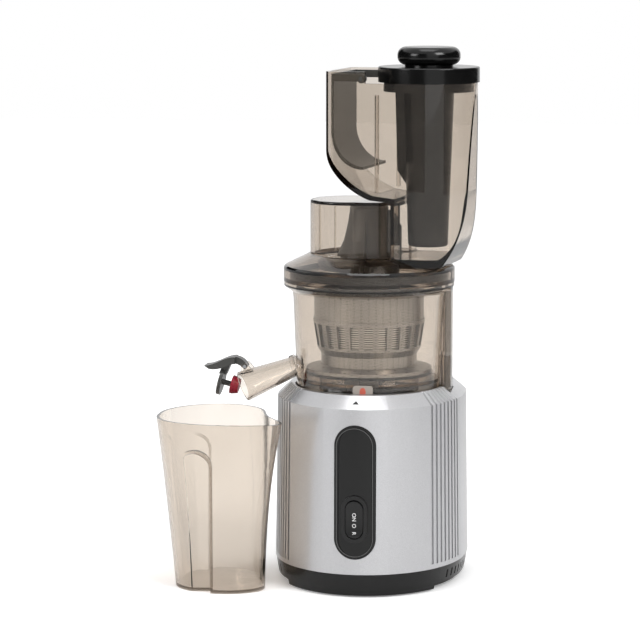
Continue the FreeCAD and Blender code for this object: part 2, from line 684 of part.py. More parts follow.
def side_profile(off):
    # Side view of the hopper: the lobe's rounded floor and the tube's leaning right wall.
    left = lobe_x + off
    right = tube_x + tube_radius - off
    low_left = [(left, 386.0), (left + 3.2, 371.5 + off * 0.4), (left + 10.0, 360.5 + off * 0.9),
                (left + 20.5, 350.0 + off * 1.1), (left + 40.0, 339.0 + off * 1.2)]
    shelf = [(throat_x + off, 337.0 + off * 1.1)]
    foot = throat_floor_z if off else throat_floor_z - 7.0
    throat = [(throat_x + off, foot), (right - 22.0, foot)]
    low_right = [(right - 13.0, 297.0 + off * 0.3), (right - 6.5, 318.0), (right - 3.4, 346.0)]
    start = Part.makeLine(V(left, 0, 470), V(left, 0, 386.0))
    slide = spline_through([(x, 0, z) for x, z in low_left])
    points = [low_left[-1]] + shelf + throat
    lines = [Part.makeLine(V(a[0], 0, a[1]), V(b[0], 0, b[1])) for a, b in zip(points, points[1:])]
    bend = spline_through([(x, 0, z) for x, z in [throat[-1]] + low_right])
    close = [Part.makeLine(V(low_right[-1][0], 0, low_right[-1][1]), V(right, 0, 430.0)),
             Part.makeLine(V(right, 0, 430.0), V(right, 0, 470)),
             Part.makeLine(V(right, 0, 470), V(left, 0, 470))]
    face = Part.Face(Part.Wire([start, slide] + lines + [bend] + close))
    solid = face.extrude(V(0, 120, 0))
    solid.translate(V(0, -60, 0))
    return solid


def hopper_plan(off, z0, z1):
    # Plan view: the tube's half circle to the right, straight walls, a flat end with corners.
    r = tube_radius - off
    corner = lobe_corner - off * 0.6
    left = lobe_x + off
    body = block(left, tube_x, -r, r, z0, z1)
    edges = [e for e in body.Edges if e.BoundBox.ZLength > 10 and e.BoundBox.XMax < left + 1]
    body = body.makeFillet(corner, edges)
    return body.fuse(disc(r, z0, z1, tube_x)).removeSplitter()


hopper_outer = hopper_plan(0, 270, lobe_rim_z).common(side_profile(0))
hopper_inner = hopper_plan(lid_wall, 270, lobe_rim_z + 5).common(side_profile(lid_wall))
passage = block(throat_in_x, throat_x + 5, -throat_half, throat_half, throat_floor_z - 7,
                turret_top)
passage_in = block(throat_in_x - 5, throat_x + 6, lid_wall - throat_half,
                   throat_half - lid_wall, throat_floor_z, roof_in)
lid_solid = lid_outer.fuse([turret_out, rotor_outer, hopper_outer, passage])
lid_solid = lid_solid.cut(block(lobe_step_x, 150, -80, 80, tube_rim_z, 480))
inside = spun([(0, 250), (plug_ring_radius - 2.6, 250), (plug_ring_radius - 2.6, lid_foot + 3),
               (lid_radius - lid_wall - 2, lid_foot + 3),
               (lid_radius - lid_wall - 2, lid_rim_top - 4),
               (lid_cone_radius - 3, lid_cone_top - 4.2), (0, lid_cone_top - 4.2)])
turret_in = disc(turret_radius - lid_wall, 270, roof_in, turret_x)
rotor_inner = disc(rotor_in, 270, roof_in)
roof_hole = disc(pivot_radius + run_fit, roof_in - 1, column_top + 3.4)
lid_solid = lid_solid.cut(inside.fuse([turret_in, rotor_inner]))
lid_solid = lid_solid.cut(hopper_inner).cut(passage_in).cut(roof_hole)
ribs = []
for side in (1, -1):
    edge = (tube_radius - lid_wall) * side
    y0, y1 = sorted((edge + 0.5 * side, edge - rib_depth * side))
    ribs.append(block(rib_x, rib_x + rib_thick, y0, y1, rib_foot_z, tube_rim_z - 10))
lid_solid = lid_solid.fuse(ribs)
pin_z = lobe_rim_z - gate_pin_drop
gate_bore = Part.makeCylinder(gate_pin_radius + run_fit, 100, V(gate_pin_x, -50, pin_z),
                              V(0, 1, 0))
lid_solid = lid_solid.cut(gate_bore)
lid_seal = tube(plug_ring_radius + 1.3, plug_ring_radius + 0.05, plug_ring_foot + 1, plug_ring_foot + 4)

# Gate: a bent sheet that lies along the lobe, hung on two arms.
gate_half = tube_radius - lid_wall - gate_fit
gate_left = lobe_x + lid_wall + gate_fit


def gate_curve(off):
    left = gate_left + off
    foot = gate_foot_z + off
    return [(left, gate_bend_z), (left + 3.0, gate_bend_z - 17.0 + off * 0.6),
            (left + 12.0, foot + 5.5), (left + 21.0, foot + 0.8), (gate_tail_x, foot)]


gate_top = lobe_rim_z - 2.0
out_edge = spline_through([(x, 0, z) for x, z in gate_curve(0)])
in_edge = spline_through([(x, 0, z) for x, z in gate_curve(gate_thick)])
corner_points = [V(gate_left, 0, gate_top), V(gate_left + gate_thick, 0, gate_top)]
gate_face = Part.Face(Part.Wire([
    Part.makeLine(corner_points[0], V(gate_left, 0, gate_bend_z)), out_edge,
    Part.makeLine(V(gate_tail_x, 0, gate_foot_z), V(gate_tail_x, 0, gate_foot_z + gate_thick)),
    in_edge,
    Part.makeLine(V(gate_left + gate_thick, 0, gate_bend_z), corner_points[1]),
    Part.makeLine(corner_points[1], corner_points[0])]))
gate = gate_face.extrude(V(0, 2 * gate_half, 0))
gate.translate(V(0, -gate_half, 0))
arms = []
for side in (1, -1):
    y0, y1 = sorted((gate_half * side, (gate_half - gate_thick) * side))
    arm = block(gate_left, gate_pin_x, y0, y1, gate_top - 6.5, gate_top)
    eye = Part.makeCylinder(4.0, gate_thick, V(gate_pin_x, y0, pin_z), V(0, 1, 0))
    arms.append(arm.fuse(eye))
    tip0, tip1 = sorted((gate_half * side, (tube_radius - 0.4) * side))
    arms.append(Part.makeCylinder(gate_pin_radius, tip1 - tip0, V(gate_pin_x, tip0, pin_z),
                                  V(0, 1, 0)))
gate = gate.fuse(arms).removeSplitter()

# Pusher: tapered plunger with a side fin, a cap that closes the tube, and a rounded knob.
insert_radius = tube_radius - lid_wall - pusher_fit
cap_foot = tube_rim_z + gap
insert_foot = cap_foot - insert_height
plunger = Part.makeCone(plunger_foot_radius, plunger_top_radius, insert_foot - plunger_foot_z,
                        V(tube_x, 0, plunger_foot_z))
plunger = plunger.makeFillet(2.5, [e for e in plunger.Edges
                                   if e.BoundBox.ZMax < plunger_foot_z + 0.1])
fin_left = tube_x - plunger_top_radius - fin_reach
fin = side_prism([(fin_left, insert_foot), (tube_x, insert_foot), (tube_x, fin_foot_z - 14),
                  (tube_x - plunger_foot_radius, fin_foot_z - 14), (fin_left + 2, fin_foot_z)],
                 -fin_thick / 2, fin_thick / 2)
plunger = plunger.fuse(fin).removeSplitter()
pusher_cap = disc(cap_radius, cap_foot, cap_foot + cap_thick, tube_x)
pusher_cap = pusher_cap.makeFillet(1.2, [e for e in pusher_cap.Edges
                                         if e.BoundBox.ZMin > cap_foot + cap_thick - 0.1])
pusher_cap = pusher_cap.fuse(disc(insert_radius, insert_foot, cap_foot + 1, tube_x))
pusher_cap = pusher_cap.removeSplitter()
knob_foot = cap_foot + cap_thick + neck_height
knob = disc(knob_radius, knob_foot, knob_foot + knob_height, tube_x)
knob = knob.makeFillet(knob_edge, [e for e in knob.Edges if e.Curve.TypeId == 'Part::GeomCircle'])
knob = knob.fuse(disc(neck_radius, knob_foot - neck_height, knob_foot + 2, tube_x))
knob = knob.removeSplitter()

# Juice jug: an oval tapered cup with a pouring lip and a finger groove front and back.
jug_top = [(-54, -5), (-40, -44), (-5, -62), (30, -65), (53.5, -58), (44, -12), (37, 30),
           (12, 57), (-28, 50), (-48, 25)]
jug_mid = [(-47.5, -5), (-35, -39), (-4, -56), (26, -56), (43.5, -44), (43.5, -8), (38, 27),
           (12, 52), (-24, 46), (-41.5, 23)]
jug_low = [(-38, -4), (-28, -34), (-3, -49), (22, -48), (37, -37), (39.5, -6), (35, 24),
           (12, 46), (-20, 41), (-33, 21)]


def jug_wire(points, z, off):
    kept = []
    for a, b in points:
        size = sqrt(a * a + b * b)
        kept.append((a * (size - off) / size, b * (size - off) / size, z))
    return smooth_wire(kept)


def jug_body(off, floor, top):
    middle = jug_height * 0.62
    return loft([jug_wire(jug_low, floor, off), jug_wire(jug_mid, middle, off),
                 jug_wire(jug_top, top, off)])


def grip(centre, side, grow):
    # Arch-topped finger groove, leaning with the wall.
    half = grip_half + grow
    foot_b = 47.0
    deep = grip_depth + grow
    reach = 40.0
    z0 = -12.0
    straight = grip_top - grip_half
    tool = block(centre - half, centre + half, 0, reach, z0, straight)
    tool = tool.fuse(Part.makeCylinder(half, reach, V(centre, 0, straight), V(0, 1, 0)))
    tool.translate(V(0, foot_b - deep, 0))
    lean = degrees(atan2(11.0, jug_height))
    tool.rotate(V(centre, foot_b - deep, 0), V(1, 0, 0), -lean)
    if side < 0:
        tool.rotate(V(centre, 0, 0), UP, 180)
    return tool


grips = [grip(grip_front_a, -1, 0.0), grip(grip_back_a, 1, 0.0)]
grips_in = [grip(grip_front_a, -1, jug_wall), grip(grip_back_a, 1, jug_wall)]
jug_inside = jug_body(jug_wall, jug_floor, jug_height + 3)
jug_outside = jug_body(0.0, 0.0, jug_height)
jug = jug_outside.cut(Part.makeCompound(grips))
jug = jug.cut(jug_inside.cut(Part.makeCompound(grips_in)))
jug.rotate(V(0, 0, 0), UP, jug_turn)
jug.translate(V(jug_x, jug_y, 0))

parts = {
    "base_shell": shell,
    "base_skirt": skirt,
    "bottom_plate": bottom_plate,
    "rubber_feet": Part.makeCompound(feet),
    "bottom_screws": Part.makeCompound(screws),
    "seat_ring": seat_ring,
    "shaft_seal": shaft_seal,
    "front_panel": panel,
    "switch_bezel": bezel,
    "switch_box": switch_box,
    "rocker": rocker,
    "gearbox": gearbox,
    "motor": motor,
    "micro_switch": micro_switch,
    "cord_gland": gland,
    "output_shaft": shaft,
    "drive_coupling": coupling,
    "bowl": bowl,
    "hub_seal": hub_seal,
    "juice_spout": spout,
    "pulp_chute": chute,
    "rod_column": column_body,
    "safety_rod": rod,
    "rod_sleeve": sleeve,
    "stopper_pin": pin,
    "stopper_lever": lever,
    "stopper_plug": plug,
    "strainer_frame": strainer,
    "strainer_mesh": mesh,
    "screw": screw,
    "screw_socket": socket,
    "lid": on_lid(lid_solid),
    "lid_seal": lid_seal,
    "hopper_gate": on_lid(gate),
    "pusher_plunger": on_lid(plunger),
    "pusher_cap": on_lid(pusher_cap),
    "pusher_knob": on_lid(knob),
    "jug": jug,
}

os.makedirs("parts", exist_ok=True)
for name, shape in parts.items():
    shape.exportStep("parts/" + name + ".step")
    box = shape.BoundBox
    print("%-16s solids %d valid %s volume %.0f box %.1f %.1f %.1f to %.1f %.1f %.1f" % (
        name, len(shape.Solids), shape.isValid(), shape.Volume, box.XMin, box.YMin, box.ZMin,
        box.XMax, box.YMax, box.ZMax))
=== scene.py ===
# Cold press juicer on a white table: clear smoke-tinted mouldings over a silver motor base.
import bpy
import bmesh
from math import radians, sin, cos, pi
from mathutils import Vector, Matrix


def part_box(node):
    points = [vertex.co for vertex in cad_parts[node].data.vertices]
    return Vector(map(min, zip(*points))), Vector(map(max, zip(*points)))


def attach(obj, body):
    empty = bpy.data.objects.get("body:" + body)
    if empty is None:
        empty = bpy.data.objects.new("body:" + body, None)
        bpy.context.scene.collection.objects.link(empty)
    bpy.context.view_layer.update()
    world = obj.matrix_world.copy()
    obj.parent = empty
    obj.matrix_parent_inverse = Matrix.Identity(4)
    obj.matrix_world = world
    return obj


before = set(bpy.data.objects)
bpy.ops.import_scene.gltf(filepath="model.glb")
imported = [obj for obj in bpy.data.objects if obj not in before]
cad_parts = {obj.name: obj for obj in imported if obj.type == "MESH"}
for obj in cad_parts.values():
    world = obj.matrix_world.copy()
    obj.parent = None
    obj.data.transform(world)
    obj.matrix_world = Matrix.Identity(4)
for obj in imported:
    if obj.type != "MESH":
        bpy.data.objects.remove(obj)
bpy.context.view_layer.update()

# Motor housing: an ABS moulding sprayed with silver metallic paint under a clear lacquer. The
# flakes give it a soft sparkle and the lacquer a slightly rippled gloss. Real flakes are under a
# tenth of a millimetre, and are drawn coarser here so that they show.
FLAKE_MM = 0.35
RIPPLE_MM = 6.25


def linear(code):
    parts = [int(code[i:i + 2], 16) / 255 for i in (1, 3, 5)]
    return tuple(c / 12.92 if c <= 0.04045 else ((c + 0.055) / 1.055) ** 2.4
                 for c in parts) + (1.0,)


def put(tree, kind, values=None, joined=None):
    made = tree.nodes.new(kind)
    for name, value in (values or {}).items():
        if isinstance(name, int) or name in made.inputs:
            made.inputs[name].default_value = value
        else:
            setattr(made, name, value)
    for name, source in (joined or {}).items():
        tree.links.new(source, made.inputs[name])
    return made


def begin_finish(name):
    finish = bpy.data.materials.new(name)
    finish.use_nodes = True
    tree = finish.node_tree
    tree.nodes.clear()
    place = put(tree, "ShaderNodeTexCoord").outputs["Object"]
    return finish, tree, place


def end_finish(tree, shader):
    put(tree, "ShaderNodeOutputMaterial", joined={"Surface": shader.outputs[0]})


def dress(finish, *names):
    for name in names:
        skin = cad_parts[name].data.materials
        skin.clear()
        skin.append(finish)


silver_paint, tree, place = begin_finish("silver metallic paint, lacquered")
flakes = put(tree, "ShaderNodeTexNoise", {"Scale": 1000 / FLAKE_MM, "Detail": 2.0},
             {"Vector": place})
shade = put(tree, "ShaderNodeValToRGB", joined={"Fac": flakes.outputs["Fac"]})
shade.color_ramp.elements[0].position = 0.35
shade.color_ramp.elements[0].color = linear("#b2b2b4")
shade.color_ramp.elements[1].position = 0.65
shade.color_ramp.elements[1].color = linear("#c8c8ca")
ripple = put(tree, "ShaderNodeTexNoise", {"Scale": 1000 / RIPPLE_MM, "Detail": 2.0},
             {"Vector": place})
orange_peel = put(tree, "ShaderNodeBump", {"Strength": 0.04, "Distance": 0.0004},
                  {"Height": ripple.outputs["Fac"]})
dull = put(tree, "ShaderNodeMapRange", {"To Min": 0.26, "To Max": 0.34},
           {"Value": ripple.outputs["Fac"]})
paint = put(tree, "ShaderNodeBsdfPrincipled",
            {"Metallic": 0.8, "Coat Weight": 0.25, "Coat Roughness": 0.12},
            {"Base Color": shade.outputs["Color"], "Roughness": dull.outputs["Result"],
             "Normal": orange_peel.outputs["Normal"]})
end_finish(tree, paint)
dress(silver_paint, "base_shell")

# Skirt, switch panel and pusher: piano-black ABS, moulded with a high gloss. Handling leaves
# faint uneven haze in the shine.
HAZE_PER_METRE = 45.0
black_gloss, tree, place = begin_finish("black ABS, high gloss")
haze = put(tree, "ShaderNodeTexNoise", {"Scale": HAZE_PER_METRE, "Detail": 4.0},
           {"Vector": place})
tone = put(tree, "ShaderNodeValToRGB", joined={"Fac": haze.outputs["Fac"]})
tone.color_ramp.elements[0].color = linear("#060606")
tone.color_ramp.elements[1].color = linear("#0c0c0c")
dull = put(tree, "ShaderNodeMapRange", {"To Min": 0.14, "To Max": 0.24},
           {"Value": haze.outputs["Fac"]})
gloss = put(tree, "ShaderNodeBsdfPrincipled", {"IOR": 1.52, "Specular IOR Level": 0.32},
            {"Base Color": tone.outputs["Color"], "Roughness": dull.outputs["Result"]})
end_finish(tree, gloss)
dress(black_gloss, "base_skirt", "front_panel", "pusher_plunger", "pusher_cap", "pusher_knob")

# Bezel, rocker, deck ring and inner mouldings: black ABS with a fine spark-eroded grain, about a
# tenth of a millimetre across and drawn coarser here so that it shows.
GRAIN_MM = 0.5
black_grain, tree, place = begin_finish("black ABS, fine moulded grain")
grain = put(tree, "ShaderNodeTexNoise", {"Scale": 1000 / GRAIN_MM, "Detail": 3.0},
            {"Vector": place})
tone = put(tree, "ShaderNodeValToRGB", joined={"Fac": grain.outputs["Fac"]})
tone.color_ramp.elements[0].color = linear("#101010")
tone.color_ramp.elements[1].color = linear("#181818")
relief = put(tree, "ShaderNodeBump", {"Strength": 0.15, "Distance": 0.0002},
             {"Height": grain.outputs["Fac"]})
satin = put(tree, "ShaderNodeBsdfPrincipled",
            {"Roughness": 0.38, "IOR": 1.52, "Specular IOR Level": 0.35},
            {"Base Color": tone.outputs["Color"], "Normal": relief.outputs["Normal"]})
end_finish(tree, satin)
dress(black_grain, "switch_bezel", "rocker", "seat_ring", "bottom_plate", "switch_box",
      "micro_switch")

# Feet, cord gland and seals: black rubber, compression moulded and pressed into their seats.
# The skin is dull and a little dusty, in specks a few millimetres across.
DUST_PER_METRE = 300.0
rubber, tree, place = begin_finish("black moulded rubber")
dust = put(tree, "ShaderNodeTexNoise", {"Scale": DUST_PER_METRE, "Detail": 5.0},
           {"Vector": place})
tone = put(tree, "ShaderNodeValToRGB", joined={"Fac": dust.outputs["Fac"]})
tone.color_ramp.elements[0].color = linear("#1a1a1a")
tone.color_ramp.elements[1].color = linear("#2a2a29")
dull = put(tree, "ShaderNodeBsdfPrincipled", {"Roughness": 0.7, "IOR": 1.5},
           {"Base Color": tone.outputs["Color"]})
end_finish(tree, dull)
dress(rubber, "rubber_feet", "cord_gland", "shaft_seal", "lid_seal")

# Motor, gearbox, shafts, pins, screws and the safety rod: steel, turned or die cast, with fine
# tool marks round the upright axis, half a millimetre apart. Most are hidden in the base.
TOOL_MARK_WAVE = 700.0
metal, tree, place = begin_finish("machined steel")
marks = put(tree, "ShaderNodeTexWave",
            {"bands_direction": "Z", "Scale": TOOL_MARK_WAVE, "Distortion": 2.0},
            {"Vector": place})
tone = put(tree, "ShaderNodeValToRGB", joined={"Fac": marks.outputs["Fac"]})
tone.color_ramp.elements[0].color = linear("#8e9092")
tone.color_ramp.elements[1].color = linear("#b9bbbd")
steel = put(tree, "ShaderNodeBsdfPrincipled", {"Metallic": 1.0, "Roughness": 0.3},
            {"Base Color": tone.outputs["Color"]})
end_finish(tree, steel)
dress(metal, "motor", "gearbox", "output_shaft", "drive_coupling", "bottom_screws",
      "screw_socket", "stopper_pin", "safety_rod")

# Bowl, spout, chute, lid with its hopper, and jug: clear copolyester tinted smoke-tan, injection
# moulded. Thick edges look darker, and faint flow ripples bend what is behind.
FLOW_PER_METRE = 18.0
TINT_DENSITY = 100.0
clear_smoke, tree, place = begin_finish("clear copolyester, smoke tint")
flow = put(tree, "ShaderNodeTexNoise", {"Scale": FLOW_PER_METRE, "Detail": 1.0},
           {"Vector": place})
bend = put(tree, "ShaderNodeBump", {"Strength": 0.03, "Distance": 0.002},
           {"Height": flow.outputs["Fac"]})
tone = put(tree, "ShaderNodeValToRGB", joined={"Fac": flow.outputs["Fac"]})
tone.color_ramp.elements[0].color = linear("#f3eee7")
tone.color_ramp.elements[1].color = linear("#f8f4ef")
clear = put(tree, "ShaderNodeBsdfPrincipled",
            {"Roughness": 0.02, "IOR": 1.49, "Transmission Weight": 1.0},
            {"Base Color": tone.outputs["Color"], "Normal": bend.outputs["Normal"]})
pass_light = put(tree, "ShaderNodeBsdfTransparent", {"Color": linear("#e2d9cd")})
rays = put(tree, "ShaderNodeLightPath")
both = put(tree, "ShaderNodeMixShader",
           joined={0: rays.outputs["Is Shadow Ray"], 1: clear.outputs[0],
                   2: pass_light.outputs[0]})
tint = put(tree, "ShaderNodeVolumeAbsorption",
           {"Color": linear("#9a8264"), "Density": TINT_DENSITY})
put(tree, "ShaderNodeOutputMaterial",
    joined={"Surface": both.outputs[0], "Volume": tint.outputs[0]})
dress(clear_smoke, "bowl", "juice_spout", "pulp_chute", "rod_column", "rod_sleeve", "lid", "jug")

# Pressing screw: one moulding of plastic filled with glass fibre, which leaves a dull dark grey
# skin with a fine mottle. It stands on the coupling, inside the strainer.
FIBRE_PER_METRE = 900.0
screw_grey, tree, place = begin_finish("dark grey reinforced plastic")
fibre = put(tree, "ShaderNodeTexNoise", {"Scale": FIBRE_PER_METRE, "Detail": 4.0},
            {"Vector": place})
tone = put(tree, "ShaderNodeValToRGB", joined={"Fac": fibre.outputs["Fac"]})
tone.color_ramp.elements[0].color = linear("#3a3a3a")
tone.color_ramp.elements[1].color = linear("#484848")
satin = put(tree, "ShaderNodeBsdfPrincipled", {"Roughness": 0.42, "IOR": 1.5},
            {"Base Color": tone.outputs["Color"]})
end_finish(tree, satin)
dress(screw_grey, "screw")

# Hopper gate and stopper lever: dark grey ABS, moulded with a satin skin. The gate hangs on two
# pins in the hopper, and the lever turns on a pin over the spout.
SATIN_PER_METRE = 1400.0
dark_grey, tree, place = begin_finish("dark grey ABS, satin")
grain = put(tree, "ShaderNodeTexNoise", {"Scale": SATIN_PER_METRE, "Detail": 3.0},
            {"Vector": place})
tone = put(tree, "ShaderNodeValToRGB", joined={"Fac": grain.outputs["Fac"]})
tone.color_ramp.elements[0].color = linear("#333331")
tone.color_ramp.elements[1].color = linear("#40403e")
satin = put(tree, "ShaderNodeBsdfPrincipled", {"Roughness": 0.34, "IOR": 1.52},
            {"Base Color": tone.outputs["Color"]})
end_finish(tree, satin)
dress(dark_grey, "hopper_gate", "stopper_lever")

# Stopper plug: deep red silicone, moulded soft and slightly translucent, and pressed on the
# lever's stem. Its colour clouds a little, over a few millimetres.
CLOUD_PER_METRE = 260.0
red_silicone, tree, place = begin_finish("red silicone")
cloud = put(tree, "ShaderNodeTexNoise", {"Scale": CLOUD_PER_METRE, "Detail": 3.0},
            {"Vector": place})
tone = put(tree, "ShaderNodeValToRGB", joined={"Fac": cloud.outputs["Fac"]})
tone.color_ramp.elements[0].color = linear("#7c1024")
tone.color_ramp.elements[1].color = linear("#93182c")
soft = put(tree, "ShaderNodeBsdfPrincipled",
           {"Roughness": 0.45, "IOR": 1.43, "Subsurface Weight": 0.15,
            "Subsurface Scale": 0.002}, {"Base Color": tone.outputs["Color"]})
end_finish(tree, soft)
dress(red_silicone, "stopper_plug")

# Hub seal: a moulded ring of grey silicone in the bowl's floor, pressed in round the coupling.
# It has the plug's soft clouding, and is a little more matt.
grey_silicone, tree, place = begin_finish("grey silicone")
cloud = put(tree, "ShaderNodeTexNoise", {"Scale": CLOUD_PER_METRE, "Detail": 3.0},
            {"Vector": place})
tone = put(tree, "ShaderNodeValToRGB", joined={"Fac": cloud.outputs["Fac"]})
tone.color_ramp.elements[0].color = linear("#8a8a88")
tone.color_ramp.elements[1].color = linear("#999997")
soft = put(tree, "ShaderNodeBsdfPrincipled", {"Roughness": 0.5, "IOR": 1.43},
           {"Base Color": tone.outputs["Color"]})
end_finish(tree, soft)
dress(grey_silicone, "hub_seal")

# Strainer frame: ABS moulded in a metallic grey with a satin skin, with columns of small dots
# round it. It stands in the bowl and holds the mesh.
FRAME_FLAKES_PER_METRE = 2200.0
DOT_COLUMNS = 24.0
DOT_PITCH = 0.0026
strainer_grey, tree, place = begin_finish("metallic grey ABS")
flakes = put(tree, "ShaderNodeTexNoise", {"Scale": FRAME_FLAKES_PER_METRE, "Detail": 2.0},
             {"Vector": place})
tone = put(tree, "ShaderNodeValToRGB", joined={"Fac": flakes.outputs["Fac"]})
tone.color_ramp.elements[0].color = linear("#8f8c88")
tone.color_ramp.elements[1].color = linear("#a3a09b")
axes = put(tree, "ShaderNodeSeparateXYZ", joined={0: place})
round_it = put(tree, "ShaderNodeMath", {"operation": "ARCTAN2"},
               {0: axes.outputs["Y"], 1: axes.outputs["X"]})
around = put(tree, "ShaderNodeMath", {"operation": "MULTIPLY", 1: DOT_COLUMNS},
             {0: round_it.outputs[0]})
wave_round = put(tree, "ShaderNodeMath", {"operation": "COSINE"}, {0: around.outputs[0]})
upward = put(tree, "ShaderNodeMath", {"operation": "MULTIPLY", 1: 2 * pi / DOT_PITCH},
             {0: axes.outputs["Z"]})
wave_up = put(tree, "ShaderNodeMath", {"operation": "COSINE"}, {0: upward.outputs[0]})
dots = put(tree, "ShaderNodeMath", {"operation": "MULTIPLY"},
           {0: wave_round.outputs[0], 1: wave_up.outputs[0]})
pits = put(tree, "ShaderNodeMapRange", {"From Min": 0.78, "From Max": 0.93},
           {"Value": dots.outputs[0]})
shade = put(tree, "ShaderNodeMix", {"data_type": "RGBA"})
tree.links.new(pits.outputs["Result"], shade.inputs[0])
tree.links.new(tone.outputs["Color"], shade.inputs[6])
shade.inputs[7].default_value = linear("#4f4c48")
satin = put(tree, "ShaderNodeBsdfPrincipled", {"Metallic": 0.95, "Roughness": 0.3},
            {"Base Color": shade.outputs[2]})
end_finish(tree, satin)
dress(strainer_grey, "strainer_frame")

# Strainer mesh: thin stainless sheet with etched rows of fine slots, rolled and moulded into the
# frame. The rows are drawn two millimetres apart, coarser than real ones, so that they show.
SLOT_WAVE = 160.0
fine_mesh, tree, place = begin_finish("etched stainless mesh")
slots = put(tree, "ShaderNodeTexWave", {"bands_direction": "Z", "Scale": SLOT_WAVE},
            {"Vector": place})
tone = put(tree, "ShaderNodeValToRGB", joined={"Fac": slots.outputs["Fac"]})
tone.color_ramp.elements[0].color = linear("#4c4a46")
tone.color_ramp.elements[1].color = linear("#c9c5bd")
steel = put(tree, "ShaderNodeBsdfPrincipled", {"Metallic": 0.9, "Roughness": 0.3},
            {"Base Color": tone.outputs["Color"]})
end_finish(tree, steel)
dress(fine_mesh, "strainer_mesh")

# Printed marks: white ink on the rocker (ON, O, R), a black arrow head on the shoulder, and a
# white label with a red dot on the bowl's skirt. The thin grey line round the switch panel is a
# painted
# highlight: light caught on the panel's moulded edge, drawn as a grey strip.
def solid_of(name, rows, finish, body):
    # rows: columns of (back low, back high, front high, front low); their ends are closed.
    shape = bmesh.new()
    rings = [[shape.verts.new(corner) for corner in row] for row in rows]
    for near, after in zip(rings, rings[1:]):
        for k in range(4):
            shape.faces.new((near[k], near[(k + 1) % 4], after[(k + 1) % 4], after[k]))
    shape.faces.new(rings[0][::-1])
    shape.faces.new(rings[-1])
    bmesh.ops.recalc_face_normals(shape, faces=shape.faces)
    piece = bpy.data.objects.new(name, bpy.data.meshes.new(name))
    shape.to_mesh(piece.data)
    shape.free()
    piece.data.materials.append(finish)
    bpy.context.scene.collection.objects.link(piece)
    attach(piece, body)
    return piece


def ink(name, low, high):
    finish, tree, place = begin_finish(name)
    speck = put(tree, "ShaderNodeTexNoise", {"Scale": 3000.0, "Detail": 2.0}, {"Vector": place})
    tone = put(tree, "ShaderNodeValToRGB", joined={"Fac": speck.outputs["Fac"]})
    tone.color_ramp.elements[0].color = linear(low)
    tone.color_ramp.elements[1].color = linear(high)
    print_skin = put(tree, "ShaderNodeBsdfPrincipled", {"Roughness": 0.45, "IOR": 1.48},
                     {"Base Color": tone.outputs["Color"]})
    end_finish(tree, print_skin)
    return finish


white_ink = ink("white pad-printed ink", "#dcdcdc", "#f0f0f0")
label_ink = ink("pale label, seen through the smoke tint", "#8f877f", "#9d958d")
black_ink = ink("black pad-printed ink", "#101010", "#1a1a1a")
red_ink = ink("red label ink", "#b04c3c", "#c0604c")
# Painted highlight: grey ink that stands for light caught on the switch panel's moulded edge.
painted_edge_highlight = ink("painted highlight on the panel's moulded edge", "#4a4a4a", "#585858")

rocker_low = Vector(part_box("rocker")[0])
MARK_SIZE = 0.0046
MARK_HALF_THICK = 0.0001
MARK_LIFT = 0.00012
for word, z in (("ON", 0.0715), ("O", 0.0640), ("R", 0.0575)):
    letters = bpy.data.curves.new("mark " + word, "FONT")
    letters.body = word
    letters.size = MARK_SIZE
    letters.align_x = "CENTER"
    letters.align_y = "CENTER"
    letters.extrude = MARK_HALF_THICK
    flat = bpy.data.objects.new("mark " + word, letters)
    bpy.context.scene.collection.objects.link(flat)
    seen_mesh = bpy.data.meshes.new_from_object(
        flat.evaluated_get(bpy.context.evaluated_depsgraph_get()))
    bpy.data.objects.remove(flat)
    turn = (Matrix.Translation((0.0, rocker_low.y - MARK_LIFT, z))
            @ Matrix.Rotation(radians(90.0), 4, "X") @ Matrix.Rotation(radians(-90.0), 4, "Z"))
    seen_mesh.transform(turn)
    letter = bpy.data.objects.new("rocker_mark_" + word, seen_mesh)
    seen_mesh.materials.clear()
    seen_mesh.materials.append(white_ink)
    bpy.context.scene.collection.objects.link(letter)
    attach(letter, "switch_rocker")

BEVEL_MID = Vector((0.0, -0.0802, 0.16875))
BEVEL_UP = Vector((0.0, 0.7385, 0.6743))
BEVEL_OUT = Vector((0.0, -0.6743, 0.7385))
ARROW_HALF = 0.0027
ARROW_TALL = 0.0038
ARROW_FALL = 0.0029
ARROW_STEPS = 8
ARROW_BACK = 0.00003
ARROW_FRONT = 0.00015
rows = []
for k in range(ARROW_STEPS + 1):
    x = -ARROW_HALF + 2 * ARROW_HALF * k / ARROW_STEPS
    top = ARROW_TALL * (1 - abs(x) / ARROW_FALL)
    low = BEVEL_MID + BEVEL_UP * (-ARROW_TALL / 2) + Vector((x, 0, 0))
    high = BEVEL_MID + BEVEL_UP * (top - ARROW_TALL / 2) + Vector((x, 0, 0))
    rows.append([low + BEVEL_OUT * ARROW_BACK, high + BEVEL_OUT * ARROW_BACK,
                 high + BEVEL_OUT * ARROW_FRONT, low + BEVEL_OUT * ARROW_FRONT])
solid_of("shoulder_arrow", rows, black_ink, "base")

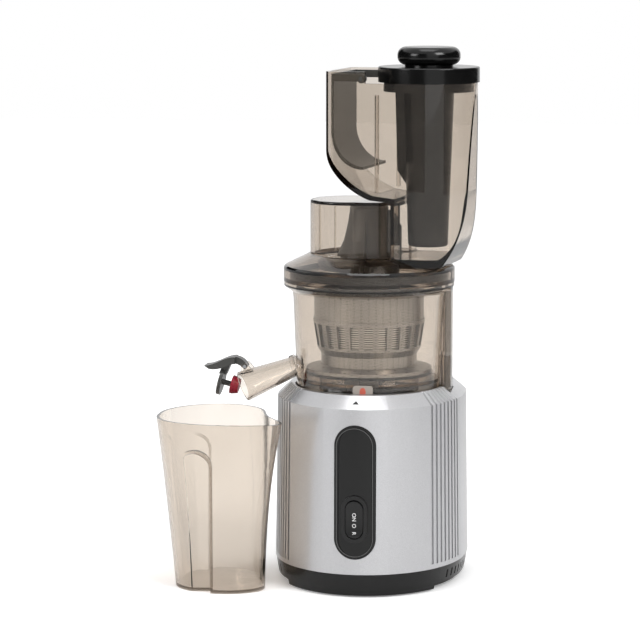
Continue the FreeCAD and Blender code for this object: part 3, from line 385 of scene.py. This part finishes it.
# The grey line round the switch panel is a painted highlight along the panel's moulded edge.
panel_low, panel_high = [Vector(v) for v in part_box("front_panel")]
LINE_INSET = 0.0021
LINE_WIDTH = 0.0005
LINE_STEPS = 96
LINE_BACK = 0.00002
LINE_FRONT = 0.00018
panel_mid_z = (panel_low.z + panel_high.z) / 2
half_wide = (panel_high.x - panel_low.x) / 2 - LINE_INSET
straight = (panel_high.z - panel_low.z) / 2 - (panel_high.x - panel_low.x) / 2
rows = []
for k in range(LINE_STEPS + 1):
    a = 2 * pi * k / LINE_STEPS
    shift = straight if sin(a) > 1e-6 else -straight if sin(a) < -1e-6 else 0.0
    inner_at = Vector(((half_wide - LINE_WIDTH) * cos(a), 0,
                       panel_mid_z + (half_wide - LINE_WIDTH) * sin(a) + shift))
    outer_at = Vector((half_wide * cos(a), 0, panel_mid_z + half_wide * sin(a) + shift))
    back = Vector((0, panel_low.y - LINE_BACK, 0))
    front = Vector((0, panel_low.y - LINE_FRONT, 0))
    rows.append([inner_at + back, outer_at + back, outer_at + front, inner_at + front])
half_rows = len(rows) // 2
solid_of("panel_line_upper", rows[:half_rows + 1], painted_edge_highlight, "base")
solid_of("panel_line_lower", rows[half_rows:], painted_edge_highlight, "base")

SKIRT_RADIUS = 0.0640
LABEL_THICK = 0.00015
LABEL_END = 0.985
LABEL_STEPS = 24


def on_skirt(x, z, lift):
    a = x / SKIRT_RADIUS
    r = SKIRT_RADIUS + lift
    return Vector((r * sin(a), -r * cos(a), z))


def skirt_label(name, mid_x, mid_z, half_x, half_z, power, lift, finish):
    rows = []
    for k in range(LABEL_STEPS + 1):
        f = -LABEL_END + 2 * LABEL_END * k / LABEL_STEPS
        reach = half_z * (1 - abs(f) ** power) ** (1 / power)
        x = mid_x + half_x * f
        rows.append([on_skirt(x, mid_z - reach, lift), on_skirt(x, mid_z + reach, lift),
                     on_skirt(x, mid_z + reach, lift + LABEL_THICK),
                     on_skirt(x, mid_z - reach, lift + LABEL_THICK)])
    solid_of(name, rows, finish, "juice_bowl")


skirt_label("bowl_label", 0.0035, 0.1757, 0.0088, 0.0055, 5.0, 0.0001, label_ink)
skirt_label("bowl_label_dot", 0.0035, 0.1757, 0.0026, 0.0036, 2.0, 0.00028, red_ink)

# Turret ribs: thin upright ribs moulded on the inside of the turret's front wall. They are part of
# the clear lid, so they have its tint, and they stop just short of its wall and roof.
LID_TURN = radians(-7.0)
TURRET_SHIFT = 0.0168
TURRET_RADIUS = 0.0323
TURRET_MID = Vector((-TURRET_SHIFT * cos(LID_TURN), -TURRET_SHIFT * sin(LID_TURN), 0.0))
RIB_REACH = 0.0011
RIB_HALF = 0.0005
RIB_GAP = 0.00006
RIB_ENDS = (0.2935, 0.3325)
for number, way in enumerate((-46.0, -16.0, 12.0)):
    a = radians(way)
    outward = Vector((sin(a), -cos(a), 0.0))
    across = Vector((cos(a), sin(a), 0.0))
    wall_at = TURRET_MID + outward * (TURRET_RADIUS - RIB_GAP)
    rows = []
    for z in RIB_ENDS:
        lift = Vector((0.0, 0.0, z))
        rows.append([wall_at - across * RIB_HALF + lift, wall_at + across * RIB_HALF + lift,
                     wall_at + across * RIB_HALF - outward * RIB_REACH + lift,
                     wall_at - across * RIB_HALF - outward * RIB_REACH + lift])
    solid_of("turret_rib_%d" % number, rows, clear_smoke, "lid_and_hopper")

# Lid ring gasket: a black silicone ring pressed into the hollow of the lid's rim. Through the
# smoke tint it reads as the dark band round the lid.
RING_INNER, RING_OUTER = 0.0668, 0.0696
RING_LOW, RING_HIGH = 0.2686, 0.2748
ring = bmesh.new()
section = [(RING_INNER, RING_LOW), (RING_OUTER, RING_LOW), (RING_OUTER, RING_HIGH),
           (RING_INNER, RING_HIGH)]
corners = [ring.verts.new((r, 0.0, z)) for r, z in section]
edges = [ring.edges.new((corners[k], corners[(k + 1) % 4])) for k in range(4)]
bmesh.ops.spin(ring, geom=corners + edges, cent=(0, 0, 0), axis=(0, 0, 1), angle=2 * pi,
               steps=128, use_merge=True)
bmesh.ops.recalc_face_normals(ring, faces=ring.faces)
gasket = bpy.data.objects.new("lid_ring_gasket", bpy.data.meshes.new("lid_ring_gasket"))
ring.to_mesh(gasket.data)
ring.free()
gasket.data.materials.append(rubber)
bpy.context.scene.collection.objects.link(gasket)
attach(gasket, "lid_and_hopper")

# White table: matt white board. A lift that grows with the distance from the object makes it
# white to the camera and through the clear pieces. It keeps the object's shadow.
TABLE_HALF = 6.0
LIFT_FROM, LIFT_TO = 0.15, 0.9
LIFT_NEAR, LIFT_FAR = 0.25, 0.52
floor_mesh = bmesh.new()
bmesh.ops.create_grid(floor_mesh, x_segments=1, y_segments=1, size=TABLE_HALF)
table = bpy.data.objects.new("white table", bpy.data.meshes.new("white table"))
floor_mesh.to_mesh(table.data)
floor_mesh.free()
bpy.context.scene.collection.objects.link(table)
white_board, tree, place = begin_finish("white board")
matt = put(tree, "ShaderNodeBsdfPrincipled", {"Base Color": linear("#f4f4f4"), "Roughness": 0.9})
away = put(tree, "ShaderNodeVectorMath", {"operation": "LENGTH"}, {0: place})
far = put(tree, "ShaderNodeMapRange",
          {"From Min": LIFT_FROM, "From Max": LIFT_TO, "To Min": LIFT_NEAR, "To Max": LIFT_FAR},
          {"Value": away.outputs["Value"]})
glow = put(tree, "ShaderNodeEmission", joined={"Strength": far.outputs["Result"]})
rays = put(tree, "ShaderNodeLightPath")
shown = put(tree, "ShaderNodeMath", {"operation": "MAXIMUM"},
            {0: rays.outputs["Is Camera Ray"], 1: rays.outputs["Is Transmission Ray"]})
none = put(tree, "ShaderNodeEmission", {"Strength": 0.0})
lift = put(tree, "ShaderNodeMixShader",
           joined={0: shown.outputs[0], 1: none.outputs[0], 2: glow.outputs[0]})
total = put(tree, "ShaderNodeAddShader", joined={0: matt.outputs[0], 1: lift.outputs[0]})
end_finish(tree, total)
table.data.materials.append(white_board)

# Studio flags: black cloth walls far to each side, which only reflections see. They give the
# glossy black and silver parts their dark bands beside the bright gap to the front right.
FLAG_RADIUS = 4.0
FLAG_HEIGHTS = (-0.5, 2.6)
FLAG_STEPS = 12
velvet, tree, place = begin_finish("black studio cloth")
nap = put(tree, "ShaderNodeTexNoise", {"Scale": 4.0}, {"Vector": place})
tone = put(tree, "ShaderNodeValToRGB", joined={"Fac": nap.outputs["Fac"]})
tone.color_ramp.elements[0].color = linear("#1c1c1c")
tone.color_ramp.elements[1].color = linear("#303030")
end_finish(tree, put(tree, "ShaderNodeEmission", joined={"Color": tone.outputs["Color"]}))
for name, first, last in (("left flag", -150.0, -1.0), ("right flag", 42.0, 150.0)):
    wall = bmesh.new()
    feet = []
    for k in range(FLAG_STEPS + 1):
        a = radians(first + (last - first) * k / FLAG_STEPS)
        feet.append([wall.verts.new((FLAG_RADIUS * sin(a), -FLAG_RADIUS * cos(a), z))
                     for z in FLAG_HEIGHTS])
    for near, after in zip(feet, feet[1:]):
        wall.faces.new((near[0], after[0], after[1], near[1]))
    flag = bpy.data.objects.new(name, bpy.data.meshes.new(name))
    wall.to_mesh(flag.data)
    wall.free()
    flag.data.materials.append(velvet)
    bpy.context.scene.collection.objects.link(flag)
    flag.visible_camera = False
    flag.visible_diffuse = False
    flag.visible_transmission = False
    flag.visible_shadow = False

# Light: an even white room with a large soft lamp above right, and weaker ones to the left and
# overhead. The room lights the object less than it shows to the camera and to reflections.
ROOM_LIGHT = 0.55
ROOM_SEEN = 1.0
LAMP_AIM = Vector((0, 0, 0.25))
world = bpy.data.worlds.new("white studio")
bpy.context.scene.world = world
world.use_nodes = True
tree = world.node_tree
tree.nodes.clear()
rays = put(tree, "ShaderNodeLightPath")
seen = put(tree, "ShaderNodeMath", {"operation": "MAXIMUM"},
           {0: rays.outputs["Is Camera Ray"], 1: rays.outputs["Is Transmission Ray"]})
seen = put(tree, "ShaderNodeMath", {"operation": "MAXIMUM"},
           {0: seen.outputs[0], 1: rays.outputs["Is Glossy Ray"]})
dim = put(tree, "ShaderNodeBackground", {"Color": (1, 1, 1, 1), "Strength": ROOM_LIGHT})
white = put(tree, "ShaderNodeBackground", {"Color": (1, 1, 1, 1), "Strength": ROOM_SEEN})
room = put(tree, "ShaderNodeMixShader",
           joined={0: seen.outputs[0], 1: dim.outputs[0], 2: white.outputs[0]})
put(tree, "ShaderNodeOutputWorld", joined={"Surface": room.outputs[0]})
for name, spot, size, power in (("lamp above right", (1.5, -1.3, 1.5), 1.0, 34.0),
                                ("lamp left", (-1.5, -1.3, 0.9), 0.8, 14.0),
                                ("lamp above", (0.0, -0.2, 2.4), 1.2, 14.0)):
    lamp = bpy.data.lights.new(name, "AREA")
    lamp.size = size
    lamp.energy = power
    holder = bpy.data.objects.new(name, lamp)
    holder.location = spot
    aim = LAMP_AIM - Vector(spot)
    holder.rotation_mode = "QUATERNION"
    holder.rotation_quaternion = aim.to_track_quat("-Z", "Y")
    bpy.context.scene.collection.objects.link(holder)

# Camera: a little to the right of the front and slightly above, from well back.
YAW = radians(8.0)
CAMERA_REACH = 2.692
CAMERA_HEIGHT = 0.582
LENS_MM = 174.1
SENSOR_MM = 36.0
AIM_ACROSS = -0.0431
AIM_HEIGHT = 0.2297
camera = bpy.data.objects.new("camera", bpy.data.cameras.new("camera"))
camera.data.sensor_width = SENSOR_MM
camera.data.lens = LENS_MM
camera.location = (CAMERA_REACH * sin(YAW), -CAMERA_REACH * cos(YAW), CAMERA_HEIGHT)
target = Vector((AIM_ACROSS * cos(YAW), AIM_ACROSS * sin(YAW), AIM_HEIGHT))
camera.rotation_mode = "QUATERNION"
camera.rotation_quaternion = (target - camera.location).to_track_quat("-Z", "Y")
camera.data.clip_start = 0.1
camera.data.clip_end = 30.0
bpy.context.scene.collection.objects.link(camera)
bpy.context.scene.camera = camera
bpy.context.scene.view_settings.view_transform = "Standard"
